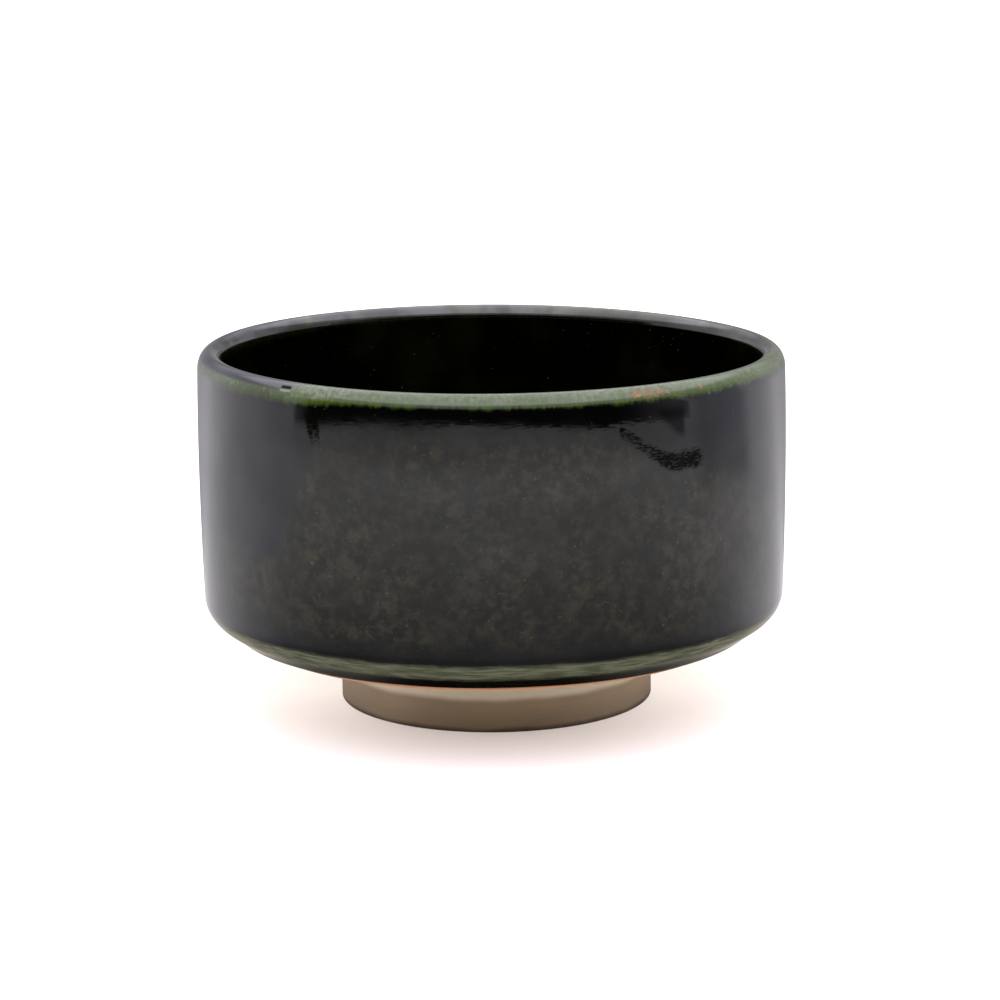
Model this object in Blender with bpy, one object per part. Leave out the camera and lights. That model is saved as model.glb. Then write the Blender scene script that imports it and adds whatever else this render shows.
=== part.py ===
"""Matcha bowl: a thrown stoneware bowl on a luted foot ring, with a glaze coat inside and one outside.

Units are metres and +Z is up. The bowl's axis is Z, and the origin is the centre of the foot's
resting face. Every piece is turned: an outline of (radius, height) points swept once round the axis.
"""

import math

import bmesh
import bpy

# Overall size
WALL_RADIUS = 0.0600
BOWL_HEIGHT = 0.0726

# Outside wall: a very slow bow, widest a little above half height and slower still below that
WIDEST_HEIGHT = 0.0500
UPPER_BOW_RADIUS = 0.714
LOWER_BOW_RADIUS = 1.100

# Lip: two quarter ellipses that meet at the crest, each with a reach across and a drop down
CREST_RADIUS = 0.0571
OUTER_LIP_DROP = 0.0037
INNER_LIP_REACH = 0.0024
INNER_LIP_DROP = 0.0026

# Bottom corner: a round arris into a steep bevel, then the shallow bare underside
CORNER_HEIGHT = 0.0223
CORNER_RADIUS = 0.00585
BEVEL_SLOPE = math.radians(34.2)
GLAZED_BEVEL_LENGTH = 0.0047
CLAY_BEVEL_LENGTH = 0.0088

# Inside: a nearly upright wall, a wide round corner and a floor dished towards its centre
INNER_WALL_FOOT_RADIUS = 0.0534
INNER_CORNER_HEIGHT = 0.0310
INNER_CORNER_RADIUS = 0.0125
FLOOR_DISH_RADIUS = 0.900

# Foot ring: upright outside with a cove under the bowl, and a slightly tapered inside
FOOT_RADIUS = 0.0320
FOOT_BORE_RADIUS = 0.0255
FOOT_BORE_TAPER = 0.0010
FOOT_EDGE_ROUND = 0.0005
COVE_START_HEIGHT = 0.0060
COVE_RADIUS = 0.0055

# Luted joint: the ring's top stands in a shallow seat turned into the underside, on a seam of slip
UNDERSIDE_HEIGHT = 0.0116
SEAT_DEPTH = 0.0005
SLIP_THICKNESS = 0.0004

# Glaze coats, and the clearance kept between neighbouring pieces
GLAZE_THICKNESS = 0.0007
GAP = 0.0003
CLAY_DEPTH = GLAZE_THICKNESS + GAP

# Fineness of the turned surfaces
SEGMENTS = 64
ROUND_STEPS = 4
WALL_STEPS = 4
INNER_WALL_STEPS = 2
FLOOR_STEPS = 3
ROLL_STEPS = 3
WELD_DISTANCE = 1e-6
SHARP_ANGLE = math.radians(40)

QUARTER_TURN = math.pi / 2
HALF_TURN = math.pi

# Finishes: the coats are glassy, the bare clay is matt
GLAZE_ROUGHNESS = 0.12
GLAZE_COAT = 0.5
CLAY_ROUGHNESS = 0.85
INNER_GLAZE_COLOR = (0.008, 0.011, 0.006)
OUTER_GLAZE_COLOR = (0.012, 0.016, 0.010)
BODY_COLOR = (0.42, 0.32, 0.23)
FOOT_COLOR = (0.33, 0.25, 0.17)
SLIP_COLOR = (0.50, 0.42, 0.33)


def clear_scene():
    for obj in list(bpy.data.objects):
        bpy.data.objects.remove(obj, do_unlink=True)


def finish(name, color, roughness):
    """A material of one plain colour."""
    material = bpy.data.materials.new(name)
    material.use_nodes = True
    shader = material.node_tree.nodes["Principled BSDF"]
    shader.inputs["Base Color"].default_value = (*color, 1.0)
    shader.inputs["Roughness"].default_value = roughness
    shader.inputs["Metallic"].default_value = 0.0
    return material


def glaze_finish(name, color):
    """A dark glassy coat."""
    material = finish(name, color, GLAZE_ROUGHNESS)
    shader = material.node_tree.nodes["Principled BSDF"]
    shader.inputs["Coat Weight"].default_value = GLAZE_COAT
    return material


def arc(centre, radii, start, end, steps):
    """Points along part of an ellipse, both ends included, with angles from the radial direction."""
    angles = [start + (end - start) * step / steps for step in range(steps + 1)]
    return [
        (centre[0] + radii[0] * math.cos(angle), centre[1] + radii[1] * math.sin(angle))
        for angle in angles
    ]


def between(start, end, steps):
    """The evenly spaced points strictly between two points."""
    fractions = [step / steps for step in range(1, steps)]
    return [
        (start[0] + (end[0] - start[0]) * part, start[1] + (end[1] - start[1]) * part)
        for part in fractions
    ]


def wall_radius(height):
    """Radius of the glazed outside wall at a height."""
    bow = UPPER_BOW_RADIUS if height > WIDEST_HEIGHT else LOWER_BOW_RADIUS
    return WALL_RADIUS - (height - WIDEST_HEIGHT) ** 2 / (2 * bow)


def outside_line(depth, bevel_length):
    """The outside surface at a depth below the glaze, from the crest down to the end of the bevel."""
    lip_foot = BOWL_HEIGHT - OUTER_LIP_DROP
    reach = wall_radius(lip_foot) - CREST_RADIUS
    lip = arc((CREST_RADIUS, lip_foot), (reach - depth, OUTER_LIP_DROP - depth),
              QUARTER_TURN, 0, ROUND_STEPS)
    heights = [z for _, z in between((0, lip_foot), (0, CORNER_HEIGHT), WALL_STEPS)]
    wall = [(wall_radius(z) - depth, z) for z in heights]
    lean = math.asin((WIDEST_HEIGHT - CORNER_HEIGHT) / LOWER_BOW_RADIUS)
    centre = (wall_radius(CORNER_HEIGHT) - CORNER_RADIUS * math.cos(lean),
              CORNER_HEIGHT + CORNER_RADIUS * math.sin(lean))
    radius = CORNER_RADIUS - depth
    corner = arc(centre, (radius, radius), -lean, BEVEL_SLOPE - QUARTER_TURN, ROUND_STEPS)
    bevel_end = (corner[-1][0] - bevel_length * math.cos(BEVEL_SLOPE),
                 corner[-1][1] - bevel_length * math.sin(BEVEL_SLOPE))
    return lip + wall + corner + [bevel_end]


def inside_line(depth):
    """The inside surface at a depth below the glaze, from the crest down to the floor's centre."""
    lip_foot = (CREST_RADIUS - INNER_LIP_REACH, BOWL_HEIGHT - INNER_LIP_DROP)
    lip = arc((CREST_RADIUS, lip_foot[1]), (INNER_LIP_REACH - depth, INNER_LIP_DROP - depth),
              QUARTER_TURN, HALF_TURN, ROUND_STEPS)
    lean = math.atan2(lip_foot[0] - INNER_WALL_FOOT_RADIUS, lip_foot[1] - INNER_CORNER_HEIGHT)
    centre = (INNER_WALL_FOOT_RADIUS - INNER_CORNER_RADIUS * math.cos(lean),
              INNER_CORNER_HEIGHT + INNER_CORNER_RADIUS * math.sin(lean))
    radius = INNER_CORNER_RADIUS + depth
    dish_angle = math.asin(centre[0] / FLOOR_DISH_RADIUS)
    corner = arc(centre, (radius, radius), -lean, dish_angle - QUARTER_TURN, ROUND_STEPS)
    wall = between(lip[-1], corner[0], INNER_WALL_STEPS)
    edge = corner[-1]
    centre_height = edge[1] - edge[0] ** 2 / (2 * FLOOR_DISH_RADIUS)
    radii = [edge[0] * (1 - step / FLOOR_STEPS) for step in range(1, FLOOR_STEPS + 1)]
    floor = [(r, centre_height + r ** 2 / (2 * FLOOR_DISH_RADIUS)) for r in radii]
    return lip + wall + corner + floor


def foot_top_height():
    return UNDERSIDE_HEIGHT + SEAT_DEPTH - SLIP_THICKNESS - 2 * GAP


def cove_sweep():
    """Angle the cove turns through between the upright side and the ring's top face."""
    return math.asin((foot_top_height() - COVE_START_HEIGHT) / COVE_RADIUS)


def foot_top_radii():
    """Inner and outer radius of the foot ring's top face, where the bore and the cove end."""
    outer = FOOT_RADIUS + COVE_RADIUS * (1 - math.cos(cove_sweep()))
    return FOOT_BORE_RADIUS - FOOT_BORE_TAPER, outer


def turned(name, outline, closed, material):
    """The solid of revolution of an outline; an open outline starts and ends on the axis."""
    bm = bmesh.new()
    verts = [bm.verts.new((radius, 0, height)) for radius, height in outline]
    edges = [bm.edges.new(pair) for pair in zip(verts, verts[1:])]
    if closed:
        edges.append(bm.edges.new((verts[-1], verts[0])))
    bmesh.ops.spin(bm, geom=verts + edges, cent=(0, 0, 0), axis=(0, 0, 1),
                   angle=2 * HALF_TURN, steps=SEGMENTS, use_merge=True)
    bmesh.ops.remove_doubles(bm, verts=bm.verts, dist=WELD_DISTANCE)
    bmesh.ops.recalc_face_normals(bm, faces=bm.faces)
    mesh = bpy.data.meshes.new(name)
    bm.to_mesh(mesh)
    bm.free()
    mesh.shade_smooth()
    mesh.set_sharp_from_angle(angle=SHARP_ANGLE)
    mesh.materials.append(material)
    obj = bpy.data.objects.new(name, mesh)
    bpy.context.scene.collection.objects.link(obj)
    return obj


def make_clay_body(parent):
    """Wall and floor in one thrown piece, with the foot ring's seat turned into its underside."""
    inside = inside_line(CLAY_DEPTH)
    outside = outside_line(CLAY_DEPTH, CLAY_BEVEL_LENGTH)
    bore, rim = foot_top_radii()
    seat_height = UNDERSIDE_HEIGHT + SEAT_DEPTH
    underside = [
        (rim + GAP, UNDERSIDE_HEIGHT),
        (rim + GAP, seat_height),
        (bore - GAP, seat_height),
        (bore - GAP, UNDERSIDE_HEIGHT),
        (0, UNDERSIDE_HEIGHT),
    ]
    outline = inside[::-1] + outside[1:] + underside
    material = finish("clay_body", BODY_COLOR, CLAY_ROUGHNESS)
    turned("clay_body", outline, False, material).parent = parent


def make_foot_ring(parent):
    """Bare ring with softened lower edges and a cove up to its top face."""
    bore, _ = foot_top_radii()
    cove = arc((FOOT_RADIUS + COVE_RADIUS, COVE_START_HEIGHT), (COVE_RADIUS, COVE_RADIUS),
               HALF_TURN, HALF_TURN - cove_sweep(), ROUND_STEPS)
    rounding = (FOOT_EDGE_ROUND, FOOT_EDGE_ROUND)
    outer_edge = arc((FOOT_RADIUS - FOOT_EDGE_ROUND, FOOT_EDGE_ROUND), rounding,
                     0, -QUARTER_TURN, ROLL_STEPS)
    bore_edge = arc((FOOT_BORE_RADIUS + FOOT_EDGE_ROUND, FOOT_EDGE_ROUND), rounding,
                    -QUARTER_TURN, -HALF_TURN, ROLL_STEPS)
    outline = [(bore, foot_top_height())] + cove[::-1] + outer_edge + bore_edge
    material = finish("foot_ring", FOOT_COLOR, CLAY_ROUGHNESS)
    turned("foot_ring", outline, True, material).parent = parent


def make_luting_slip(parent):
    """Thin seam of slip between the ring's top face and its seat."""
    bore, rim = foot_top_radii()
    low = foot_top_height() + GAP
    high = low + SLIP_THICKNESS
    outline = [(bore, low), (bore, high), (rim, high), (rim, low)]
    material = finish("luting_slip", SLIP_COLOR, CLAY_ROUGHNESS)
    turned("luting_slip", outline, True, material).parent = parent


def make_inner_glaze(parent):
    """Poured coat over the floor and the inside wall, up to the crest of the lip."""
    face = inside_line(0)
    back = inside_line(GLAZE_THICKNESS)
    for line in (face, back):
        line[0] = (CREST_RADIUS - GAP, line[0][1])
    material = glaze_finish("inner_glaze", INNER_GLAZE_COLOR)
    turned("inner_glaze", face[::-1] + back, False, material).parent = parent


def make_outer_glaze(parent):
    """Dipped coat from the crest of the lip down to its rolled edge on the bevel."""
    face = outside_line(0, GLAZED_BEVEL_LENGTH)
    back = outside_line(GLAZE_THICKNESS, GLAZED_BEVEL_LENGTH)
    roll_centre = tuple((a + b) / 2 for a, b in zip(face[-1], back[-1]))
    rounding = (GLAZE_THICKNESS / 2, GLAZE_THICKNESS / 2)
    face_angle = BEVEL_SLOPE - QUARTER_TURN
    roll = arc(roll_centre, rounding, face_angle, face_angle - HALF_TURN, ROLL_STEPS)
    material = glaze_finish("outer_glaze", OUTER_GLAZE_COLOR)
    turned("outer_glaze", face[:-1] + roll + back[-2::-1], True, material).parent = parent


def build():
    clear_scene()
    bowl = bpy.data.objects.new("matcha_bowl", None)
    bpy.context.scene.collection.objects.link(bowl)
    make_clay_body(bowl)
    make_foot_ring(bowl)
    make_luting_slip(bowl)
    make_inner_glaze(bowl)
    make_outer_glaze(bowl)


build()
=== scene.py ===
"""Looks of the matcha bowl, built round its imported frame.

The CAD model gives the bowl's sizes. Each CAD piece is stood for by a finely turned mesh of the same
outline, with the small unevenness of a thrown pot, and gets a procedural ceramic material.
Units are metres, +Z is up, and the origin is the centre of the foot's resting face.
A turn is an angle round the bowl: 0 at the front, positive to the right, half a circle at the back.
"""

import math

import bmesh
import bpy
import numpy as np
from mathutils import Matrix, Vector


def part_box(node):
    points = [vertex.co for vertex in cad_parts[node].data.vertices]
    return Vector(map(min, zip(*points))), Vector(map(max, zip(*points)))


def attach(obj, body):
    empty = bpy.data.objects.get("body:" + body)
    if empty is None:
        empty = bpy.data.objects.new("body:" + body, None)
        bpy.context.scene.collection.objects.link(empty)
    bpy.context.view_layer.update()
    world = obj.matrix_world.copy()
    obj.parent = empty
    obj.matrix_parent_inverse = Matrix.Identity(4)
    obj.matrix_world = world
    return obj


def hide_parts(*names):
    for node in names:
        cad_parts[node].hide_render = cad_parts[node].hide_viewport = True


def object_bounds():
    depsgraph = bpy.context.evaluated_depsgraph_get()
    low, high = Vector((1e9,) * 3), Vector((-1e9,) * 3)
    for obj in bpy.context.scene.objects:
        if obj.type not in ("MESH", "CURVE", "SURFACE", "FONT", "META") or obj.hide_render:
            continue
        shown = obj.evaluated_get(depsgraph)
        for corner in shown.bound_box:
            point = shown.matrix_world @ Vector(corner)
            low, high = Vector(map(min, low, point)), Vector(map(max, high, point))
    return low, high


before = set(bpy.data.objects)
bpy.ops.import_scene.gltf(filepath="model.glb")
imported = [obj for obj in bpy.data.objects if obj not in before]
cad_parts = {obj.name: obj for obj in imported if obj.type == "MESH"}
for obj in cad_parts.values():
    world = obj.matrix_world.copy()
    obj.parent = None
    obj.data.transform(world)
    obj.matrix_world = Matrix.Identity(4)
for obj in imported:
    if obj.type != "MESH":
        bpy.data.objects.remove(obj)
cad_low, cad_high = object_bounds()

# One millimetre of a bowl 120 mm across; every other size is a number of these
MM = (cad_high.x - cad_low.x) / 120
WALL_RADIUS = 60 * MM
BOWL_HEIGHT = cad_high.z - cad_low.z
DEGREE = math.radians(1)
QUARTER_TURN = math.pi / 2

# Outside wall
WIDEST_HEIGHT = 50 * MM
UPPER_BOW_RADIUS = 714 * MM
LOWER_BOW_RADIUS = 1100 * MM

# Lip
CREST_RADIUS = 57.1 * MM
OUTER_LIP_DROP = 3.7 * MM
INNER_LIP_REACH = 2.4 * MM
INNER_LIP_DROP = 2.6 * MM

# Bottom corner and bevel, with the bevel's directions inwards and outwards in the outline's plane
CORNER_HEIGHT = 22.3 * MM
CORNER_RADIUS = 5.85 * MM
BEVEL_SLOPE = 34.2 * DEGREE
BEVEL_INWARD = np.array([-math.cos(BEVEL_SLOPE), -math.sin(BEVEL_SLOPE)])
BEVEL_OUTWARD = np.array([math.sin(BEVEL_SLOPE), -math.cos(BEVEL_SLOPE)])
GLAZED_BEVEL_LENGTH = 4.7 * MM
CLAY_BEVEL_LENGTH = 8.8 * MM

# Inside
INNER_WALL_FOOT_RADIUS = 53.4 * MM
INNER_CORNER_HEIGHT = 31.0 * MM
INNER_CORNER_RADIUS = 12.5 * MM
FLOOR_DISH_RADIUS = 900 * MM

# Foot, seam of slip and underside
FOOT_RADIUS = 32.1 * MM
FOOT_BORE_RADIUS = 25.5 * MM
FOOT_BORE_TAPER = 1.0 * MM
FOOT_EDGE_ROUND = 0.25 * MM
FOOT_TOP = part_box("foot_ring")[1].z
COVE_START_HEIGHT = 6.0 * MM
COVE_RADIUS = 5.5 * MM
SEAM_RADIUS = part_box("luting_slip")[1].x
SLIP_SWELL = 0.12 * MM
SLIP_SQUEEZE = 0.55 * MM
SLIP_OVERHANG = 0.1 * MM
UNDERSIDE_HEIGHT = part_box("clay_body")[0].z
UNDERSIDE_FLAT_MARGIN = 1.0 * MM
SHOULDER_OFFSET = np.array([-0.2, 0.55]) * MM
SHOULDER_RADIUS = 0.5 * MM
SHOULDER_END = -98 * DEGREE

# Glaze; its lower edge wanders and rolls over in a bead, which swells over the bevel's last half
GLAZE_THICKNESS = 0.70 * MM
GLAZE_GRIP = 0.02 * MM
EDGE_WANDER = 0.22 * MM
BEAD_HEIGHT = 0.12 * MM
BEAD_SPAN = (0.45, 0.95)

# Unevenness of the hand-made pot
OVALNESS = 0.0012
OVAL_HEIGHTS = (15 * MM, 60 * MM)
LIP_WAVE = 0.12 * MM
LIP_TILT = 0.44 * MM
LIP_RIPPLE = 0.05 * MM
LIP_TILT_FROM = 45 * MM
FOOT_SHIFT = np.array([0.33, -0.40, 0.0]) * MM
SLIP_UNEVENNESS = 0.10 * MM

# Throwing rings inside, and turning marks on the bare clay: depth, spacing and where they fade
WALL_RING_DEPTH = 0.035 * MM
WALL_RING_PITCH = 6.5 * MM
WALL_RING_LOWER_FADE = (26 * MM, 36 * MM)
WALL_RING_UPPER_FADE = (60 * MM, 70 * MM)
FLOOR_RING_DEPTH = 0.045 * MM
FLOOR_RING_PITCH = 5.5 * MM
FLOOR_RING_INNER_FADE = (2 * MM, 8 * MM)
FLOOR_RING_OUTER_FADE = (34 * MM, 44 * MM)
FLOOR_RING_UPPER_FADE = (20 * MM, 26 * MM)
BODY_MARK_DEPTH = 0.03 * MM
BODY_MARK_SPACING = 1.5 * MM
BODY_MARK_INNER_FADE = (0, 4 * MM)
BODY_MARK_UPPER_FADE = (14.5 * MM, 16 * MM)
FOOT_MARK_DEPTH = 0.018 * MM
FOOT_MARK_SPACING = 1.1 * MM
FOOT_MARK_LOWER_FADE = (0, 1.2 * MM)

# Fineness: steps round the bowl and along each stretch of an outline
SEGMENTS = 384
OUTER_LIP_STEPS = 26
INNER_LIP_STEPS = 24
LIP_EASE = 1.5
OUTER_WALL_STEPS = 56
INNER_WALL_STEPS = 48
CORNER_STEPS = 24
FLOOR_STEPS = 60
BEVEL_STEPS = 18
BARE_BEVEL_STEPS = 30
SHOULDER_STEPS = 5
CONE_STEPS = 64
UNDERSIDE_STEPS = 110
EDGE_STEPS = 10
COVE_STEPS = 16
FOOT_SIDE_STEPS = 22
FOOT_BASE_STEPS = 14
FOOT_BORE_STEPS = 24
FOOT_TOP_STEPS = 8
BEAD_STEPS = 12
FINE = 1
COARSE = 4
ANGLES = np.linspace(0, 2 * math.pi, SEGMENTS, endpoint=False)
SHARP_ANGLE = 40 * DEGREE
POLE_WELD = 1e-8
ON_AXIS = 1e-9


# ---------------------------------------------------------------- outlines

def arc(centre, radii, start, end, steps, ease=1.0):
    """Points along part of an ellipse; an ease above 1 crowds them towards the start."""
    part = np.linspace(0, 1, steps + 1) ** ease
    angle = start + (end - start) * part
    return np.stack([centre[0] + radii[0] * np.cos(angle), centre[1] + radii[1] * np.sin(angle)], 1)


def line(start, end, steps):
    """Evenly spaced points between two points, both ends left out."""
    part = np.linspace(0, 1, steps + 1)[1:-1, None]
    return np.asarray(start) * (1 - part) + np.asarray(end) * part


def wall_radius(height):
    """Outside radius of the wall: widest part way up, with a slow bow above and below."""
    bow = np.where(height > WIDEST_HEIGHT, UPPER_BOW_RADIUS, LOWER_BOW_RADIUS)
    return WALL_RADIUS - (height - WIDEST_HEIGHT) ** 2 / (2 * bow)


def outside_line(depth, coarseness):
    """Outside surface at a depth under the glaze, from the crest to the bottom of the corner."""
    lip_foot = BOWL_HEIGHT - OUTER_LIP_DROP
    reach = wall_radius(lip_foot) - CREST_RADIUS
    lip = arc((CREST_RADIUS, lip_foot), (reach - depth, OUTER_LIP_DROP - depth),
              QUARTER_TURN, 0, OUTER_LIP_STEPS // coarseness, LIP_EASE)
    heights = np.linspace(lip_foot, CORNER_HEIGHT, OUTER_WALL_STEPS // coarseness)[1:-1]
    wall = np.stack([wall_radius(heights) - depth, heights], 1)
    lean = math.asin((WIDEST_HEIGHT - CORNER_HEIGHT) / LOWER_BOW_RADIUS)
    centre = (wall_radius(CORNER_HEIGHT) - CORNER_RADIUS * math.cos(lean),
              CORNER_HEIGHT + CORNER_RADIUS * math.sin(lean))
    radius = CORNER_RADIUS - depth
    corner = arc(centre, (radius, radius), -lean, BEVEL_SLOPE - QUARTER_TURN,
                 CORNER_STEPS // coarseness)
    return np.concatenate([lip, wall, corner])


def inside_line(depth, coarseness):
    """Inside surface at a depth under the glaze, from the crest to the floor's centre."""
    lip_foot = (CREST_RADIUS - INNER_LIP_REACH, BOWL_HEIGHT - INNER_LIP_DROP)
    lip = arc((CREST_RADIUS, lip_foot[1]), (INNER_LIP_REACH - depth, INNER_LIP_DROP - depth),
              QUARTER_TURN, math.pi, INNER_LIP_STEPS // coarseness, LIP_EASE)
    lean = math.atan2(lip_foot[0] - INNER_WALL_FOOT_RADIUS, lip_foot[1] - INNER_CORNER_HEIGHT)
    centre = (INNER_WALL_FOOT_RADIUS - INNER_CORNER_RADIUS * math.cos(lean),
              INNER_CORNER_HEIGHT + INNER_CORNER_RADIUS * math.sin(lean))
    radius = INNER_CORNER_RADIUS + depth
    dish_angle = math.asin(centre[0] / FLOOR_DISH_RADIUS)
    corner = arc(centre, (radius, radius), -lean, dish_angle - QUARTER_TURN,
                 CORNER_STEPS // coarseness)
    wall = line(lip[-1], corner[0], INNER_WALL_STEPS // coarseness)
    edge_radius, edge_height = corner[-1]
    radii = edge_radius * np.linspace(1, 0, FLOOR_STEPS // coarseness + 1)[1:]
    floor_height = edge_height - (edge_radius ** 2 - radii ** 2) / (2 * FLOOR_DISH_RADIUS)
    floor = np.stack([radii, floor_height], 1)
    return np.concatenate([lip, wall, corner, floor])


# ---------------------------------------------------------------- unevenness

def ripple(angle, counts, seed):
    """A closed wave round the bowl, within -1 and 1, made of whole numbers of waves."""
    phases = np.random.default_rng(seed).uniform(0, 2 * math.pi, len(counts))
    waves = [np.cos(count * angle + phase) for count, phase in zip(counts, phases)]
    return sum(waves) / len(counts)


def smooth_step(value, low, high):
    """A smooth rise from 0 to 1 while the value goes from low to high."""
    part = np.clip((value - low) / (high - low), 0, 1)
    return part * part * (3 - 2 * part)


def hand_shape(points):
    """The whole pot's slight ovalness, and its lip's tilt to the right and slow rise and fall."""
    angle = np.arctan2(points[..., 1], points[..., 0])
    height = points[..., 2]
    swell = 1 + OVALNESS * np.cos(2 * angle) * smooth_step(height, *OVAL_HEIGHTS)
    points[..., 0] *= swell
    points[..., 1] *= swell
    wave = -LIP_WAVE * np.sin(2 * angle) - LIP_TILT * np.cos(angle)
    wave = wave + LIP_RIPPLE * ripple(angle, (3, 5), 12)
    points[..., 2] += wave * smooth_step(height, LIP_TILT_FROM, BOWL_HEIGHT)
    return points


def throwing_rings(radius, height):
    """Relief of the inside: a soft spiral ridge up the wall, finer towards the middle of the floor."""
    angle = ANGLES[None, :]
    wall = WALL_RING_DEPTH * np.sin(2 * math.pi * height / WALL_RING_PITCH + angle)
    on_wall = smooth_step(height, *WALL_RING_LOWER_FADE)
    on_wall = on_wall * (1 - smooth_step(height, *WALL_RING_UPPER_FADE))
    floor = FLOOR_RING_DEPTH * np.sin(2 * math.pi * radius / FLOOR_RING_PITCH - angle)
    on_floor = smooth_step(radius, *FLOOR_RING_INNER_FADE)
    on_floor = on_floor * (1 - smooth_step(radius, *FLOOR_RING_OUTER_FADE))
    on_floor = on_floor * (1 - smooth_step(height, *FLOOR_RING_UPPER_FADE))
    return wall * on_wall + floor * on_floor


def turning_marks(distance, spacing, depth, seed):
    """Relief of a trimmed clay surface: fine grooves whose depth varies slowly round the pot."""
    angle = ANGLES[None, :]
    groove = np.sin(2 * math.pi * distance / spacing + 0.6 * ripple(angle, (1, 2, 3), seed))
    return depth * groove * (0.7 + 0.3 * ripple(angle, (1, 3, 4), seed + 1))


# ---------------------------------------------------------------- meshes

def swept(outline, relief=0.0):
    """Rows of points round the axis from an outline, moved along its normals by the relief."""
    along = np.gradient(outline, axis=0)
    normal = np.stack([-along[:, 1], along[:, 0]], 1)
    normal /= np.maximum(np.linalg.norm(normal, axis=1, keepdims=True), 1e-12)
    radius = outline[:, :1] + normal[:, :1] * relief + 0 * ANGLES
    height = outline[:, 1:] + normal[:, 1:] * relief + 0 * ANGLES
    radius = np.where(outline[:, :1] <= ON_AXIS, 0, radius)
    return spun(radius, height)


def spun(radius, height):
    """Points round the axis from their radii and heights, one column for each of the angles."""
    return np.stack([radius * np.cos(ANGLES), radius * np.sin(ANGLES), height], 2)


def turned(name, rows, closed, material):
    """A closed solid from rows of points round the axis; an open stack of rows ends on the axis."""
    count = len(rows)
    vertices = rows.reshape(-1, 3)
    index = np.arange(count * SEGMENTS).reshape(count, SEGMENTS)
    if closed:
        index = np.concatenate([index, index[:1]])
    low, high = index[:-1], index[1:]
    quads = np.stack([low, high, np.roll(high, -1, 1), np.roll(low, -1, 1)], 2).reshape(-1, 4)
    mesh = bpy.data.meshes.new(name)
    mesh.from_pydata(vertices.tolist(), [], quads.tolist())
    bm = bmesh.new()
    bm.from_mesh(mesh)
    bmesh.ops.remove_doubles(bm, verts=bm.verts, dist=POLE_WELD)
    bmesh.ops.recalc_face_normals(bm, faces=bm.faces)
    bm.to_mesh(mesh)
    bm.free()
    mesh.shade_smooth()
    mesh.set_sharp_from_angle(angle=SHARP_ANGLE)
    mesh.materials.append(material)
    piece = bpy.data.objects.new(name + "_fine", mesh)
    bpy.context.scene.collection.objects.link(piece)
    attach(piece, "root")
    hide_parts(name)


def glazed_bevel():
    """Rows of points down the glazed bevel and round its rolled, slightly wandering lower edge."""
    start = outside_line(0, FINE)[-1]
    length = GLAZED_BEVEL_LENGTH + EDGE_WANDER * ripple(ANGLES, (2, 3, 5, 8, 13), 21)
    bead = BEAD_HEIGHT * (1 + 0.5 * ripple(ANGLES, (3, 7, 12), 22))
    half = GLAZE_THICKNESS / 2
    rows = []
    for part in np.linspace(0, 1, BEVEL_STEPS + 1)[1:]:
        swelling = bead * smooth_step(part, *BEAD_SPAN)
        rows.append(start + BEVEL_INWARD * (part * length)[:, None] + BEVEL_OUTWARD * swelling[:, None])
    edge = start + BEVEL_INWARD * length[:, None] + BEVEL_OUTWARD * bead[:, None]
    for turn in np.linspace(0, math.pi, EDGE_STEPS + 1)[1:]:
        across = BEVEL_OUTWARD * (math.cos(turn) - 1) * (half + bead[:, None] / 2)
        rows.append(edge + across + BEVEL_INWARD * (math.sin(turn) * half))
    rows = np.stack(rows)
    return spun(rows[..., 0], rows[..., 1])


def make_outer_glaze(material):
    """Outside coat: crest, wall, arris and bevel, ending in the rolled edge."""
    face = swept(outside_line(0, FINE))
    back = swept(outside_line(GLAZE_THICKNESS, COARSE))
    rows = hand_shape(np.concatenate([face, glazed_bevel(), back[::-1]]))
    turned("outer_glaze", rows, True, material)


def make_inner_glaze(material):
    """Inside coat: crest, wall, round corner and dished floor, over the throwing rings."""
    outline = inside_line(0, FINE)
    face = swept(outline, -throwing_rings(outline[:, :1], outline[:, 1:]))
    back = swept(inside_line(GLAZE_THICKNESS, COARSE))
    rows = hand_shape(np.concatenate([face[::-1], back]))
    turned("inner_glaze", rows, False, material)


def make_clay_body(material):
    """Wall and floor in one piece; only the bevel's end and the underside stay bare."""
    depth = GLAZE_THICKNESS - GLAZE_GRIP
    inside = inside_line(depth, COARSE)
    outside = outside_line(depth, COARSE)
    corner = outside[-1] + BEVEL_INWARD * CLAY_BEVEL_LENGTH
    bevel = line(outside[-1], corner, BARE_BEVEL_STEPS)
    flat_radius = SEAM_RADIUS + UNDERSIDE_FLAT_MARGIN
    shoulder = arc(corner + SHOULDER_OFFSET, (SHOULDER_RADIUS, SHOULDER_RADIUS),
                   BEVEL_SLOPE - QUARTER_TURN, SHOULDER_END, SHOULDER_STEPS)
    cone = line(shoulder[-1], (flat_radius, UNDERSIDE_HEIGHT), CONE_STEPS)
    flat = line((flat_radius, UNDERSIDE_HEIGHT), (0, UNDERSIDE_HEIGHT), UNDERSIDE_STEPS)
    outline = np.concatenate([inside[::-1], outside[1:], bevel, shoulder, cone, flat,
                              [[0, UNDERSIDE_HEIGHT]]])
    bare_from, bare_to = BODY_MARK_UPPER_FADE
    bare = smooth_step(-outline[:, 1:], -bare_to, -bare_from)
    marks = turning_marks(outline[:, :1], BODY_MARK_SPACING, BODY_MARK_DEPTH, 31)
    marks = marks * bare * smooth_step(outline[:, :1], *BODY_MARK_INNER_FADE)
    turned("clay_body", hand_shape(swept(outline, marks)), False, material)


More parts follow.
